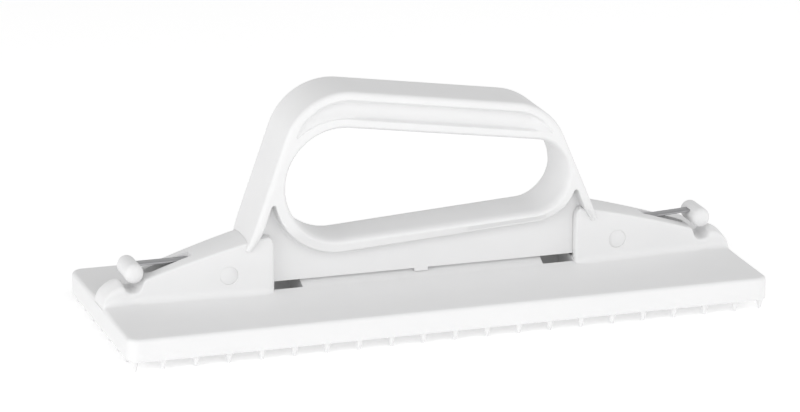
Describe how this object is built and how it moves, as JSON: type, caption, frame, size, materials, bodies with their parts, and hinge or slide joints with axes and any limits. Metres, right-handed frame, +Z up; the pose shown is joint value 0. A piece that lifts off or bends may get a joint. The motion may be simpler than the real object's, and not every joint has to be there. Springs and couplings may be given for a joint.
{
  "type": "scouring pad holder",
  "caption": "Long white plastic hand holder for a scouring pad: D-ring grip on a rounded plate with grip studs underneath and a sprung steel cloth clamp at each end.",
  "frame": {"origin": "under the middle of the plate, level with the tips of the grip studs", "axes": "+X along the plate towards the lower shoulder of the handle, +Y across the plate, +Z up through the handle"},
  "size_m": [0.23, 0.0846, 0.0826],
  "materials": {
    "base_plastic": "satin",
    "handle_plastic": "satin",
    "barrel_plastic": "satin",
    "pin_plastic": "satin",
    "strip_steel": "cold rolled, plain"
  },
  "bodies": {
    "holder": {"base_plate": "base_plastic", "handle": "handle_plastic", "left_spring_strip": "strip_steel", "right_spring_strip": "strip_steel", "left_anchor_pin": "pin_plastic", "right_anchor_pin": "pin_plastic"},
    "left_clamp": {"left_clamp_barrel": "barrel_plastic"},
    "right_clamp": {"right_clamp_barrel": "barrel_plastic"}
  },
  "joints": [
    {"name": "left_clamp_lift", "type": "hinge", "parent": "holder", "child": "left_clamp", "pos_m": [-0.09043, 0, 0.02503], "axis": [0, 1, 0], "range_deg": [0, 12], "stiffness_Nm_per_rad": 1.5, "deforming": ["left_spring_strip"]},
    {"name": "right_clamp_lift", "type": "hinge", "parent": "holder", "child": "right_clamp", "pos_m": [0.09042, 0, 0.02537], "axis": [0, -1, 0], "range_deg": [0, 12], "stiffness_Nm_per_rad": 1.5, "deforming": ["right_spring_strip"]}
  ]
}
